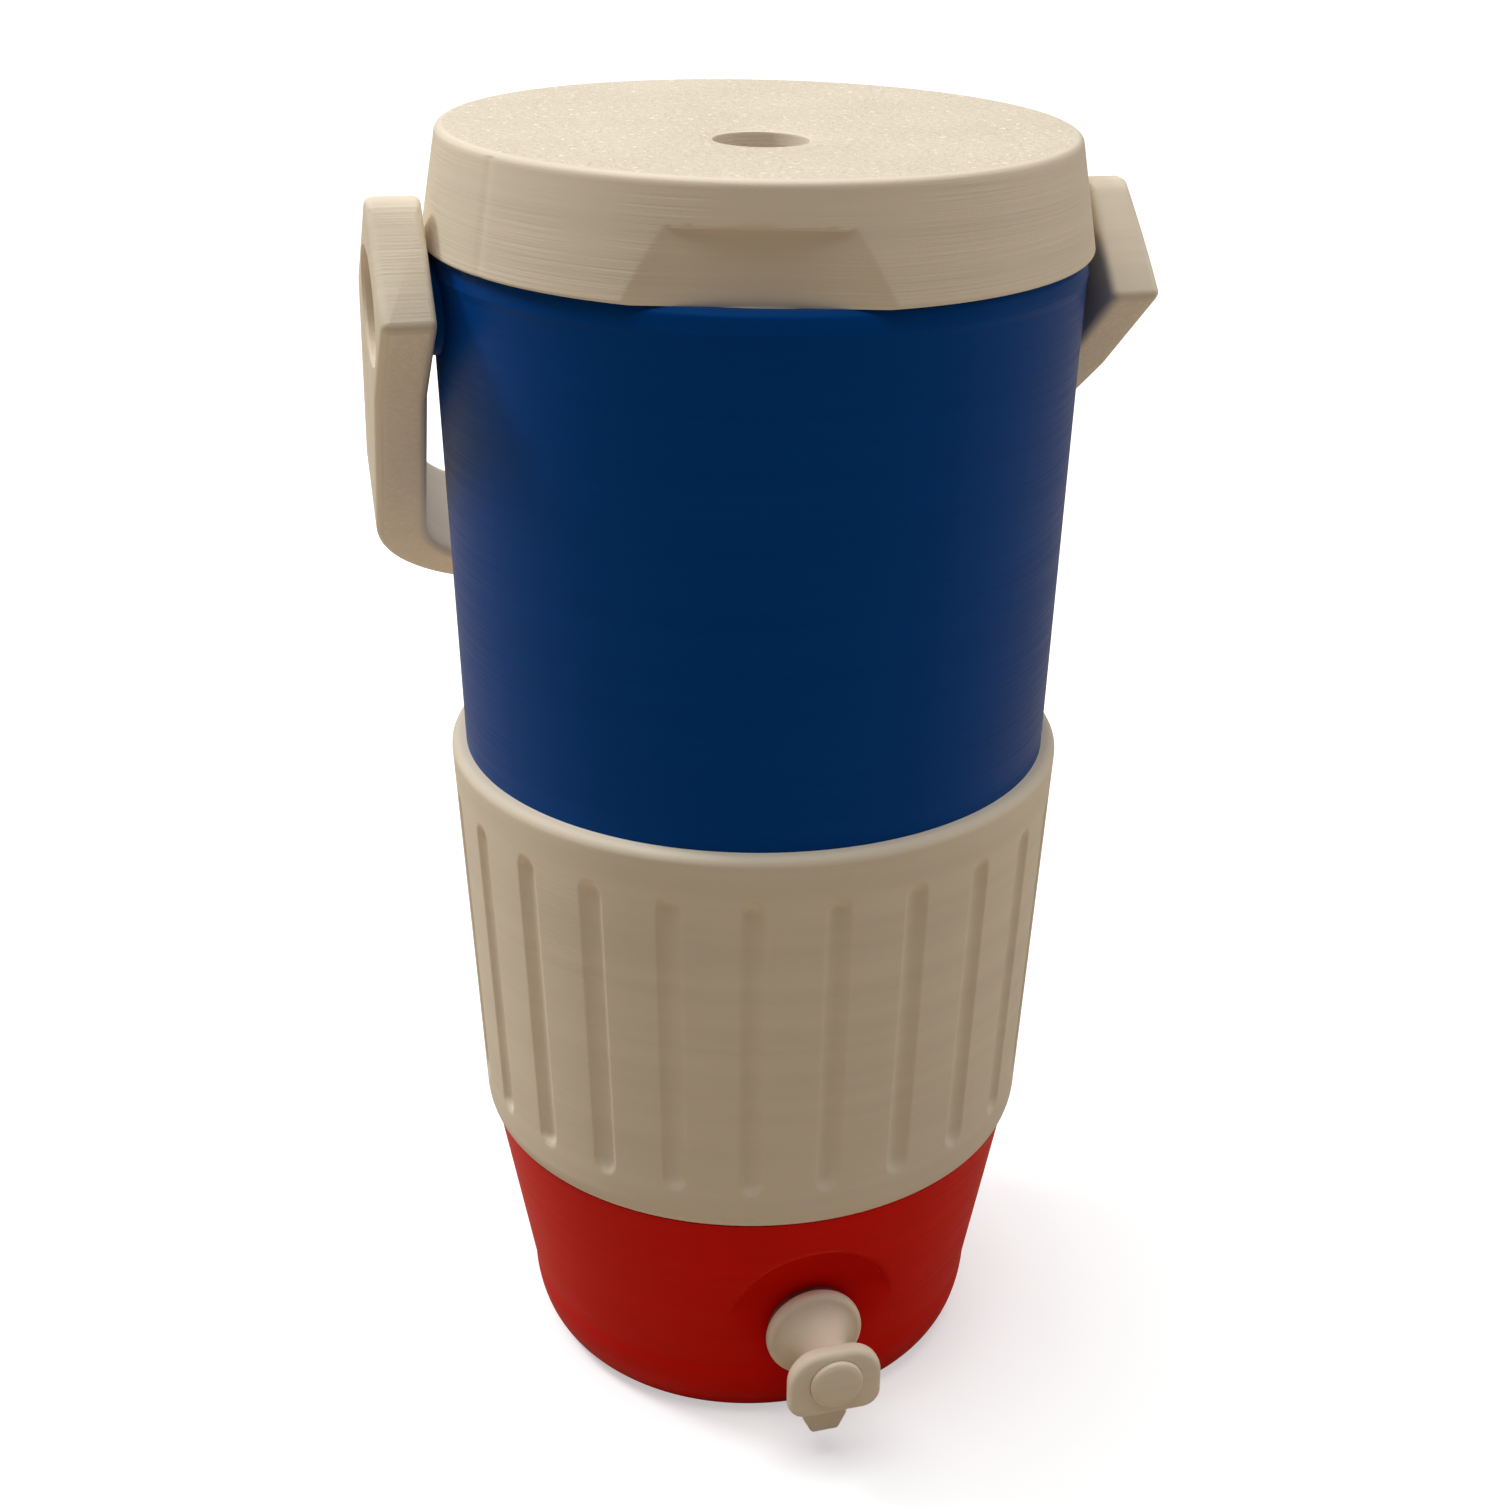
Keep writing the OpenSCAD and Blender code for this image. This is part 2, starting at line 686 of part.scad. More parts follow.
base_shell();
ribbed_band();
upper_shell();
liner();
foam_cup();
foam_sleeve();
lid_cap();
lid_plug();
lid_foam();
lid_gasket();
bail_handle();
left_pivot_pin();
right_pivot_pin();
tap_body();
tap_button();
valve_stem();
valve_seal();
button_ring();
return_spring();
outer_gasket();
inner_gasket();
lock_nut();
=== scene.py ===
"""Looks of a tumbler-size drinks dispenser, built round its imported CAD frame.

The outer pieces and the spring are rebuilt here, the outer ones as finished 3D-printed plastic: softened
edges, layer streaks, a plate-textured lid top and a print seam. The other inner pieces keep their CAD meshes,
with finished materials. Mesh sizes are in millimetres, in the frame's own axes: +Z up, the tap along -Y.
A height h along the tap is a distance from the vessel's axis towards -Y.
"""
import json
import math

import bmesh
import bpy
import numpy as np
from mathutils import Matrix, Vector


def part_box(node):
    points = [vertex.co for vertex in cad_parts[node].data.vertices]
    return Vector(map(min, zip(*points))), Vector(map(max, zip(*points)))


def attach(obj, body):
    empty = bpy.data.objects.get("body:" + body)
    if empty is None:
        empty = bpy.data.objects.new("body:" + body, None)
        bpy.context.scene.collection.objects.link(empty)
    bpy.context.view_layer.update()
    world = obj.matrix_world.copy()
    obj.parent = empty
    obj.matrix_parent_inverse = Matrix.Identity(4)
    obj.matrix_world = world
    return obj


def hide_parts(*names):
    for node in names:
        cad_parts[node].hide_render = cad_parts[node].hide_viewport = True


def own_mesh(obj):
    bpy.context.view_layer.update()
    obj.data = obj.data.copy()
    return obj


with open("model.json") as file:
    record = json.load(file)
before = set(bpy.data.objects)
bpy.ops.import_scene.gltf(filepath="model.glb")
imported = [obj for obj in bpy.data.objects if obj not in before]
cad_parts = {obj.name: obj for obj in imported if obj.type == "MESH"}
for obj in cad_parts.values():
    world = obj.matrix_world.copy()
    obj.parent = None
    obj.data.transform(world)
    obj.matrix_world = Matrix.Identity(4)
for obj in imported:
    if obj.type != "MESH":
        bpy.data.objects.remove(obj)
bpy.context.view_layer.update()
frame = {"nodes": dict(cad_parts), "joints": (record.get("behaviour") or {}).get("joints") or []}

NODES = frame["nodes"]
MM = 0.001
TURN = 2 * math.pi


# --- Sizes, in millimetres ---

def low(node):
    """Lowest corner of a CAD node."""
    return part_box(node)[0] / MM


def high(node):
    """Highest corner of a CAD node."""
    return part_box(node)[1] / MM


FOOT_R, HEEL_R, HEEL_H, HEEL_WALL = 27.75, 32.25, 9.6, 2.4
BAND_LOW_Z = low("ribbed_band").z
BAND_TOP_Z = high("ribbed_band").z
BAND_TOP_R = high("ribbed_band").x
BAND_LOW_R = 38.05
BAND_BORE = 36.4
CURL_R, CURL_H, LIP_R = 1.6, 3.2, 1.2
BASE_TOP_R = high("base_shell").x
SPIGOT_R, SPIGOT_BORE = 36.0, 34.2
SPIGOT_Z = high("base_shell").z
BASE_FLOOR = 2.8
PRESS_GAP = 0.1
PAD_Y, PAD_BACK_Y, PAD_HALF, PAD_ARCH_Z = 32.2, 30.0, 11.7, 17.0
PAD_SLOPE, PAD_WALL = 1.9, 1.4
SEAT_R = 38.5
SEAT_Z = low("upper_shell").z
RIM_Z = high("upper_shell").z
SHELL_LOW_R, SHELL_TOP_R, SHELL_BORE = 38.6, 40.3, 38.1
FLANGE_R = high("liner").x
FLANGE_GAP, FLANGE_T = 0.15, 1.6
PIVOT_ROOT_X = 36.0
BOSS_R = 6.0
BOSS_FACE = high("upper_shell").x
GROOVES = 24
GROOVE_LOW_Z, GROOVE_HIGH_Z, GROOVE_DEPTH, GROOVE_R, GROOVE_HALF = 42.7, 87.1, 0.8, 2.0, 2.1

LID_TOP_Z = high("lid_cap").z
LID_R, LID_TOP_R, SKIRT_BORE = 41.0, 38.6, 36.4
LID_TURN = math.radians(-15)
SEAM_TURN = math.radians(-65) - LID_TURN
SEAM_DEPTH, SEAM_HALF = 0.1, 0.7
LID_PLATE = 2.4
TUBE_LOW_Z = low("lid_cap").z
STRAW_R, STRAW_TUBE_R, STRAW_OFFSET = 5.5, 7.0, 12.0
NOTCH_FLOOR, NOTCH_LOW_HALF, NOTCH_TOP_HALF, NOTCH_H = 38.17, 15.0, 10.7, 8.3
NOTCH_SLOPE, NOTCH_TOP_SLOPE, NOTCH_CREASE = 1.6, 2.0, 0.06

PIVOT_Z = frame["joints"][0]["pos_m"][2] / MM
BAIL_LEAN = math.radians(50.5)
BAIL_HALF_W = high("bail_handle").x
HUB_T, STRAP_T, HUB_HALF, GRIP_HALF = 6.4, 7.0, 8.9, 7.0
BAIL_LEN, BAIL_CORNER_R, BAIL_TOP_U = 82.0, 27.0, -11.8
ARM_STRAIGHT_U, ARM_LEAN_IN, ARM_TOE_IN = 8.0, 2.4, 1.4
RECESS_R, RECESS_DEPTH = 6.8, 3.1
HUB_ROUND, STRAP_EDGE = 2.8, 1.0
PIN_R, PIN_GAP, HEAD_R, HEAD_T, HEAD_GAP = 2.5, 0.06, 4.6, 1.7, 0.1

TAP_Z = 16.2
SHANK_IN_H, SHANK_R = 20.8, 4.0
TAP_FLANGE_H, TAP_FLANGE_T, TAP_FLANGE_R = PAD_Y + 1, 1.7, 6.7
THROAT_R, NECK_R, NECK_H, FLARE_R = 5.85, 3.1, 40.0, 3.9
PLATE_BACK_H, PLATE_FACE_H = 42.2, 44.6
PLATE_HALF_W, PLATE_UP, PLATE_DOWN = 6.4, 4.9, 5.3
SPOUT_TIP_Z = low("tap_body").z
SPOUT_LOW_H, SPOUT_HIGH_H, SPOUT_HALF, SPOUT_TIP_HALF = 37.3, 40.3, 3.1, 1.9
OUTLET_H, OUTLET_R, OUTLET_TOP = 38.8, 1.0, -1.5
WATER_R, WATER_END_H, ROD_R, SPRING_BORE = 2.2, 40.4, 0.96, 2.1
CHAMBER_H, BUTTON_BACK_H, BUTTON_R, BUTTON_PROUD, BUTTON_GAP = 42.9, 43.7, 3.6, 0.8, 0.03
RING_LOW_H, RING_HIGH_H, RING_DEPTH = 43.85, 44.35, 0.5
SPRING_FLOOR_H, SPRING_R, WIRE_R, SPRING_TURNS = 41.0, 1.5, 0.2, 3.5


# --- Mesh helpers ---

def smooth_step(a, b, x):
    t = np.clip((x - a) / (b - a), 0, 1)
    return t * t * (3 - 2 * t)


def soft_min(a, b, k):
    """The smaller of a and b, rounded over about k where they cross."""
    return (a + b - np.sqrt((a - b) ** 2 + k * k)) / 2


def fillet(before, corner, after, radius, steps=None):
    """Arc that rounds the corner between two straights, by default with a point every 15 degrees."""
    a = (before - corner) / np.linalg.norm(before - corner)
    b = (after - corner) / np.linalg.norm(after - corner)
    half = math.acos(np.clip(a @ b, -1, 1)) / 2
    back = radius / math.tan(half)
    centre = corner + (a + b) / np.linalg.norm(a + b) * radius / math.sin(half)
    start, end = corner + a * back - centre, corner + b * back - centre
    sweep = math.pi - 2 * half
    turn = math.copysign(sweep, start[0] * end[1] - start[1] * end[0])
    steps = steps or max(2, round(sweep / math.radians(15)))
    arc = []
    for t in turn * np.arange(steps + 1) / steps:
        c, s = math.cos(t), math.sin(t)
        arc.append(centre + [start[0] * c - start[1] * s, start[0] * s + start[1] * c])
    return arc


def rounded(corners, step=None):
    """Outline through corners given as (r, z) or (r, z, fillet radius). step subdivides its straights."""
    pts = [np.array(c[:2], float) for c in corners]
    out = []
    for i, c in enumerate(corners):
        if len(c) > 2 and 0 < i < len(corners) - 1:
            out += fillet(pts[i - 1], pts[i], pts[i + 1], c[2])
        else:
            out.append(pts[i])
    if step is None:
        return np.array(out)
    fine = [out[0]]
    for p, q in zip(out, out[1:]):
        n = max(1, math.ceil(np.linalg.norm(q - p) / step))
        fine += [p + (q - p) * k / n for k in range(1, n + 1)]
    return np.array(fine)


def round_outline(corners, per_corner=10):
    """Closed outline through corners (x, y, radius) of a convex shape, walked anticlockwise."""
    pts = [np.array(c[:2], float) for c in corners]
    return np.array([p for i, c in enumerate(corners)
                     for p in fillet(pts[i - 1], pts[i], pts[(i + 1) % len(pts)], c[2], per_corner)])


def quarter(n):
    """n angles from 0 to a right angle."""
    return np.linspace(0, math.pi / 2, n)


def around(n):
    """n angles round the vessel's axis, from -Y towards +X."""
    return np.arange(n) * TURN / n


def stitch(columns, rows, wrap_rows):
    """Quads between neighbouring columns of a grid that closes round the columns."""
    last = rows if wrap_rows else rows - 1
    quads = []
    for c in range(columns):
        a, b = c * rows, (c + 1) % columns * rows
        quads += [(a + p, b + p, b + (p + 1) % rows, a + (p + 1) % rows) for p in range(last)]
    return quads


def capped_tube(rings):
    """Skin and two end faces of a tube through rings of equally many points."""
    sides = len(rings[0])
    faces = [tuple(range(sides)), tuple(range((len(rings) - 1) * sides, len(rings) * sides))]
    for ring in range(len(rings) - 1):
        a, b = ring * sides, (ring + 1) * sides
        faces += [(a + k, a + (k + 1) % sides, b + (k + 1) % sides, b + k) for k in range(sides)]
    return faces


def grid(outline, angles):
    """Radius, height and angle of every point of an (r, z) outline turned to the angles."""
    r = np.repeat(outline[None, :, 0], len(angles), 0)
    z = np.repeat(outline[None, :, 1], len(angles), 0)
    return r, z, np.repeat(np.asarray(angles)[:, None], len(outline), 1)


def revolve(outline, angles, shape=None, solid_ends=False):
    """Turns an (r, z) outline about the vessel's axis. shape(r, z, angle) returns the new r.

    solid_ends closes an outline whose two ends lie on the axis; any other outline is a closed loop.
    """
    outline = np.asarray(outline, float)
    if solid_ends:
        poles = outline[[0, -1]]
        outline = outline[1:-1]
    r, z, turn = grid(outline, angles)
    if shape:
        r = shape(r, z, turn)
    verts = np.stack([r * np.sin(turn), -r * np.cos(turn), z], -1).reshape(-1, 3)
    faces = stitch(len(angles), len(outline), not solid_ends)
    if solid_ends:
        base = len(verts)
        verts = np.vstack([verts, [[0, 0, poles[0][1]], [0, 0, poles[1][1]]]])
        for c in range(len(angles)):
            a, b = c * len(outline), (c + 1) % len(angles) * len(outline)
            faces.append((base, b, a))
            faces.append((base + 1, a + len(outline) - 1, b + len(outline) - 1))
    return verts, faces


def to_tap(verts):
    """Stands a shape that was turned about Z along the tap: +Z becomes -Y, at the tap's height."""
    return np.stack([verts[:, 0], -verts[:, 2], verts[:, 1] + TAP_Z], -1)


def to_pivot(verts, side):
    """Lays a shape that was turned about Z along the pivot, on the side +1 or -1."""
    return np.stack([side * verts[:, 2], verts[:, 1], verts[:, 0] + PIVOT_Z], -1)


def on_tap(outline, columns):
    """Solid turned about the tap's line from an (r, h) outline whose ends lie on it."""
    verts, faces = revolve(outline, around(columns), solid_ends=True)
    return to_tap(verts), faces


def on_pivot(outline, columns, side):
    """Solid turned about the pivot's line from an (r, x) outline whose ends lie on it."""
    verts, faces = revolve(outline, around(columns), solid_ends=True)
    return to_pivot(verts, side), faces


def turned(verts, angle):
    """Turns points about the vessel's axis."""
    c, s = math.cos(angle), math.sin(angle)
    return verts @ np.array([[c, s, 0], [-s, c, 0], [0, 0, 1]])


def joined(*parts):
    """Several (verts, faces) as one."""
    verts, faces, base = [], [], 0
    for v, f in parts:
        verts.append(v)
        faces += [tuple(base + i for i in face) for face in f]
        base += len(v)
    return np.vstack(verts), faces


def piece(name, shape, body, material, replaces=(), sharp=40):
    """A finished mesh piece from (verts, faces) in millimetres, riding on a body."""
    verts, faces = shape
    mesh = bpy.data.meshes.new(name)
    mesh.from_pydata((np.asarray(verts) * MM).tolist(), [], faces)
    bm = bmesh.new()
    bm.from_mesh(mesh)
    bmesh.ops.recalc_face_normals(bm, faces=bm.faces)
    bm.to_mesh(mesh)
    bm.free()
    mesh.materials.append(material)
    mesh.shade_smooth()
    mesh.set_sharp_from_angle(angle=math.radians(sharp))
    obj = bpy.data.objects.new(name, mesh)
    bpy.context.scene.collection.objects.link(obj)
    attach(obj, body)
    if replaces:
        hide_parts(*replaces)
    return obj


# --- Materials ---

class Shader:
    """A Principled material and short calls that add nodes to it."""

    def __init__(self, name):
        self.material = bpy.data.materials.new(name)
        self.material.use_nodes = True
        self.tree = self.material.node_tree
        self.out = self.tree.nodes["Principled BSDF"]
        self.coords = self.tree.nodes.new("ShaderNodeTexCoord").outputs["Object"]

    def link(self, source, node, socket):
        self.tree.links.new(source, node.inputs[socket])

    def node(self, kind, inputs=None, **props):
        node = self.tree.nodes.new(kind)
        for key, value in props.items():
            setattr(node, key, value)
        for socket, value in (inputs or {}).items():
            if isinstance(value, bpy.types.NodeSocket):
                self.link(value, node, socket)
            else:
                node.inputs[socket].default_value = value
        return node

    def noise(self, scale, stretch=(1, 1, 1), turn=(0, 0, 0), detail=2.0, rough=0.5):
        """Noise whose features are 1 / scale metres, squeezed by stretch after a turn."""
        turned_coords = self.node("ShaderNodeMapping", {"Vector": self.coords, "Rotation": turn})
        placed = self.node("ShaderNodeMapping", {"Vector": turned_coords.outputs[0], "Scale": stretch})
        tex = self.node("ShaderNodeTexNoise", {
            "Vector": placed.outputs[0], "Scale": scale, "Detail": detail, "Roughness": rough})
        return tex.outputs["Fac"]

    def math(self, operation, a, b=0.0, clamp=False):
        return self.node("ShaderNodeMath", {0: a, 1: b}, operation=operation, use_clamp=clamp).outputs[0]

    def span(self, value, lo, hi, to_lo, to_hi):
        return self.node("ShaderNodeMapRange", {
            "Value": value, "From Min": lo, "From Max": hi, "To Min": to_lo, "To Max": to_hi}).outputs[0]

    def mix(self, fac, a, b):
        node = self.node("ShaderNodeMix", {0: fac}, data_type="RGBA")
        for socket, value in ((6, a), (7, b)):
            if isinstance(value, bpy.types.NodeSocket):
                self.link(value, node, socket)
            else:
                node.inputs[socket].default_value = (*value, 1)
        return node.outputs[2]

    def bump(self, height, distance, under=None, strength=1.0):
        inputs = {"Height": height, "Distance": distance, "Strength": strength}
        if under is not None:
            inputs["Normal"] = under
        return self.node("ShaderNodeBump", inputs).outputs[0]

    def set(self, **values):
        """Values on the shader's own sockets; an underscore stands for a space."""
        for name, value in values.items():
            self.out.inputs[name.replace("_", " ")].default_value = value


def shade(color, k):
    return tuple(min(1.0, c * k) for c in color)


def printed_plastic(name, color, roughness, streak=1.0, turn=(0, 0, 0), glow=0.0, shine=0.3, tint=(1, 1, 1)):
    """Filament-printed plastic: faint lines along its layers, fine grain and slow changes of tone."""
    s = Shader(name)
    lines = s.noise(1.0, (28, 28, 2600), turn, detail=3.0, rough=0.55)
    broad = s.noise(1.0, (9, 9, 420), turn, detail=2.0)
    grain = s.noise(3800.0, detail=2.0)
    patches = s.noise(42.0, detail=2.0)
    worn = s.noise(48.0, detail=1.0)
    seen = s.math("MULTIPLY", s.span(worn, 0.4, 0.62, 0.12, 1), s.math("SUBTRACT", lines, 0.5))
    tone = s.math("ADD", s.math("MULTIPLY", seen, 0.5 * streak), s.math("MULTIPLY", patches, 0.5))
    tone = s.math("ADD", tone, s.math("MULTIPLY", broad, 0.5))
    s.link(s.mix(s.span(tone, 0.34, 0.66, 0, 1), shade(color, 0.95), shade(color, 1.05)), s.out, "Base Color")
    s.link(s.span(lines, 0.3, 0.7, roughness - 0.05, roughness + 0.05), s.out, "Roughness")
    s.link(s.bump(grain, 0.00001, under=s.bump(seen, 0.00011 * streak)), s.out, "Normal")
    s.set(Specular_IOR_Level=shine, Specular_Tint=(*tint, 1), Subsurface_Weight=glow, Subsurface_Scale=0.0015)
    return s


def plate_textured(name, color, roughness, depth=1.0):
    """The pebbled face that a textured print plate leaves, with painted shade in the pebbles' hollows,
    painted light on their tops and its faint sparkle painted as paler specks. depth scales its contrast.
    """
    s = Shader(name)
    pebble = s.noise(1150.0, detail=3.0, rough=0.65)
    fine = s.noise(4500.0, detail=2.0)
    patches = s.noise(70.0, detail=3.0)
    # Painted shade and light: the colour follows the pebbles' height, darker in their hollows and paler on
    # their tops, with slow random patches mixed in.
    tone = s.math("ADD", s.math("MULTIPLY", pebble, 0.75), s.math("MULTIPLY", patches, 0.25))
    dark, pale = shade(color, 1 - 0.12 * depth), shade(color, 1 + 0.06 * depth)
    body = s.mix(s.span(tone, 0.36, 0.64, 0, 1), dark, pale)
    # Painted sparkle: scattered specks paler than the plastic stand for the glints off the pebbled face.
    painted_sparkle = s.span(s.noise(950.0, detail=2.0), 0.63, 0.7, 0, depth)
    s.link(s.mix(painted_sparkle, body, shade(color, 1.3)), s.out, "Base Color")
    s.link(s.span(pebble, 0.3, 0.7, roughness + 0.08, roughness - 0.12), s.out, "Roughness")
    pebbles = s.bump(pebble, 0.0004 * depth)
    s.link(s.bump(fine, 0.00004 * depth, under=pebbles), s.out, "Normal")
    s.set(Specular_IOR_Level=0.35)
    return s


def smooth_plastic(name, color, roughness):
    """Moulded plastic with a faint orange-peel surface."""
    s = Shader(name)
    peel = s.noise(900.0, detail=2.0)
    patches = s.noise(45.0, detail=2.0)
    tone = s.mix(s.span(patches, 0.35, 0.65, 0, 1), shade(color, 0.95), shade(color, 1.03))
    s.link(tone, s.out, "Base Color")
    s.link(s.span(peel, 0.3, 0.7, roughness - 0.04, roughness + 0.06), s.out, "Roughness")
    s.link(s.bump(peel, 0.00002), s.out, "Normal")
    s.set(IOR=1.49)
    return s


def foam_material(name, color):
    """Closed-cell foam: small pits all over, with painted shade darkening each pit towards its middle."""
    s = Shader(name)
    cells = s.node("ShaderNodeTexVoronoi", {"Vector": s.coords, "Scale": 1400.0}).outputs["Distance"]
    # Painted shade: the colour darkens towards each cell's middle, where the bump sinks the pit.
    s.link(s.mix(s.span(cells, 0.0, 0.5, 0, 1), shade(color, 0.8), color), s.out, "Base Color")
    s.link(s.bump(cells, 0.0002), s.out, "Normal")
    s.set(Roughness=0.9)
    return s


def rubber_material(name, color):
    """Moulded rubber: satin, finely mottled."""
    s = Shader(name)
    mottle = s.noise(1800.0, detail=3.0)
    s.link(s.mix(s.span(mottle, 0.3, 0.7, 0, 1), shade(color, 0.8), shade(color, 1.4)), s.out, "Base Color")
    s.link(s.span(mottle, 0.3, 0.7, 0.45, 0.62), s.out, "Roughness")
    s.link(s.bump(mottle, 0.00003), s.out, "Normal")
    return s


def steel_material(name, color):
    """Drawn steel: fine lines along the wire or rod."""
    s = Shader(name)
    lines = s.noise(1.0, (9000, 250, 9000), detail=2.0)
    s.link(s.mix(s.span(lines, 0.3, 0.7, 0, 1), shade(color, 0.85), shade(color, 1.08)), s.out, "Base Color")
    s.link(s.span(lines, 0.3, 0.7, 0.22, 0.4), s.out, "Roughness")
    s.link(s.bump(lines, 0.00001), s.out, "Normal")
    s.set(Metallic=1.0)
    return s


BAIL_LAYERS = (math.pi / 2 - BAIL_LEAN, 0, 0)
WARM_WHITE = (0.76, 0.665, 0.53)
DEEP_BLUE = (0.0004, 0.05, 0.25)
FLAG_RED = (0.74, 0.004, 0.0005)

white = printed_plastic("white_print", WARM_WHITE, 0.5, streak=0.75, glow=0.06).material
white_band = printed_plastic("white_print_band", WARM_WHITE, 0.48, streak=0.35, glow=0.06).material
white_bail = printed_plastic("white_print_bail", WARM_WHITE, 0.5, turn=BAIL_LAYERS).material
white_tap = printed_plastic("white_print_tap", shade(WARM_WHITE, 1.1), 0.45, streak=0.15, glow=0.12).material
lid_top = plate_textured("lid_plate_face", WARM_WHITE, 0.5).material
bail_face = plate_textured("bail_plate_face", shade(WARM_WHITE, 1.08), 0.5, depth=0.3).material
blue = printed_plastic("blue_print", DEEP_BLUE, 0.42, streak=0.4, shine=0.12, tint=(0.1, 0.5, 1)).material
red = printed_plastic("red_print", FLAG_RED, 0.45, streak=0.4, shine=0.12, tint=(1, 0.12, 0.05)).material
liner_grey = smooth_plastic("liner_plastic", (0.8, 0.81, 0.8), 0.3).material
foam = foam_material("foam_fill", (0.9, 0.86, 0.66)).material
rubber = rubber_material("seal_rubber", (0.03, 0.03, 0.034)).material
# Painted shadow: the washers' warm dark red-brown stands for the dark red shadow that the tap's flange casts
# on the red pad, where the washers show round it.
washer = rubber_material("washer_rubber_painted_shade", (0.16, 0.1, 0.08)).material
steel = steel_material("drawn_steel", (0.66, 0.67, 0.69)).material

CAD_MATERIALS = {
    "liner": liner_grey, "foam_cup": foam, "foam_sleeve": foam, "lid_plug": liner_grey, "lid_foam": foam,
    "lid_gasket": rubber, "valve_stem": steel, "valve_seal": rubber, "button_ring": rubber,
    "outer_gasket": washer, "inner_gasket": washer, "lock_nut": liner_grey,
}
for node_name, material in CAD_MATERIALS.items():
    NODES[node_name].data.materials.clear()
    NODES[node_name].data.materials.append(material)


# --- Vessel ---

def base_shell():
    """Red base with a rounded heel and the flat arched pad that the tap stands on."""
    bulge = HEEL_R - FOOT_R
    heel = [(FOOT_R + bulge * math.cos(t), HEEL_H - HEEL_H * math.sin(t)) for t in quarter(19)[::-1]]
    wall = rounded([(HEEL_R, HEEL_H), (BASE_TOP_R, BAND_LOW_Z)], step=0.35)[1:]
    outer = np.vstack([[(0, 0), (FOOT_R * 0.5, 0), (FOOT_R - 0.5, 0)], heel, wall])
    inner_heel = [(FOOT_R - HEEL_WALL + bulge * math.cos(t), HEEL_H - (HEEL_H - BASE_FLOOR) * math.sin(t))
                  for t in quarter(9)]
    spigot = [(SPIGOT_R, BAND_LOW_Z), (SPIGOT_R, SPIGOT_Z),
              (SPIGOT_BORE, SPIGOT_Z), (SPIGOT_BORE, BAND_LOW_Z)]
    inner_wall = rounded([(SPIGOT_BORE, BAND_LOW_Z), inner_heel[0]], step=1.0)[1:]
    outline = np.vstack([outer, spigot, inner_wall, inner_heel[1:], [(0, BASE_FLOOR)]])
    is_inner = np.arange(1, len(outline) - 1) >= len(outer)
    dense = math.radians(30)
    angles = np.concatenate([np.linspace(-dense, dense, 190, endpoint=False),
                             np.linspace(dense, TURN - dense, 150, endpoint=False)])

    def pad(r, z, turn):
        across, forward = r * np.sin(turn), r * np.cos(turn)
        beyond = np.where(z > PAD_ARCH_Z, np.hypot(across, z - PAD_ARCH_Z), np.abs(across)) - PAD_HALF
        outside = PAD_Y + PAD_SLOPE * np.maximum(beyond, 0)
        inside = PAD_BACK_Y + PAD_SLOPE * np.maximum(beyond - PAD_WALL, 0)
        kept = np.where(is_inner[None, :], soft_min(forward, inside, 0.01), soft_min(forward, outside, 0.5))
        return np.where((np.cos(turn) > 0.5) & (forward > 1), r * np.minimum(kept / forward, 1), r)

    return revolve(outline, angles, pad, solid_ends=True)


def ribbed_band():
    """White middle ring with its soft-edged upright grooves."""
    curl = [(BAND_LOW_R - CURL_R + CURL_R * math.sin(t), BAND_LOW_Z + CURL_H - CURL_H * math.cos(t))
            for t in quarter(12)]
    side = rounded([curl[-1], (BAND_TOP_R, BAND_TOP_Z - LIP_R)], step=0.55)[1:]
    lip = [(BAND_TOP_R - LIP_R + LIP_R * math.cos(t), BAND_TOP_Z - LIP_R + LIP_R * math.sin(t))
           for t in quarter(9)[1:]]
    back = [(SEAT_R, BAND_TOP_Z), (SEAT_R, SEAT_Z), (BAND_BORE, SEAT_Z),
            (BAND_BORE, SPIGOT_Z), (SPIGOT_R + PRESS_GAP, SPIGOT_Z), (SPIGOT_R + PRESS_GAP, BAND_LOW_Z)]
    outline = np.vstack([curl, side, lip, back])
    on_face = np.arange(len(outline)) < len(curl) + len(side)

    def grooved(r, z, turn):
        pitch = TURN / GROOVES
        off = (np.mod(turn / pitch + 0.5, 1) - 0.5) * pitch * r
        end = np.clip(z, GROOVE_LOW_Z + GROOVE_R, GROOVE_HIGH_Z - GROOVE_R)
        away = np.hypot(off, z - end)
        sunk = np.sqrt(np.maximum(GROOVE_R ** 2 - away ** 2, 0)) - (GROOVE_R - GROOVE_DEPTH)
        return r - np.where(on_face[None, :], -soft_min(-sunk, 0, 0.1), 0)

    half = GROOVE_HALF / BAND_TOP_R
    one = np.concatenate([np.linspace(-half, half, 34, endpoint=False),
                          np.linspace(half, TURN / GROOVES - half, 8, endpoint=False)])
    angles = np.concatenate([one + i * TURN / GROOVES for i in range(GROOVES)])
    return revolve(outline, angles, grooved)


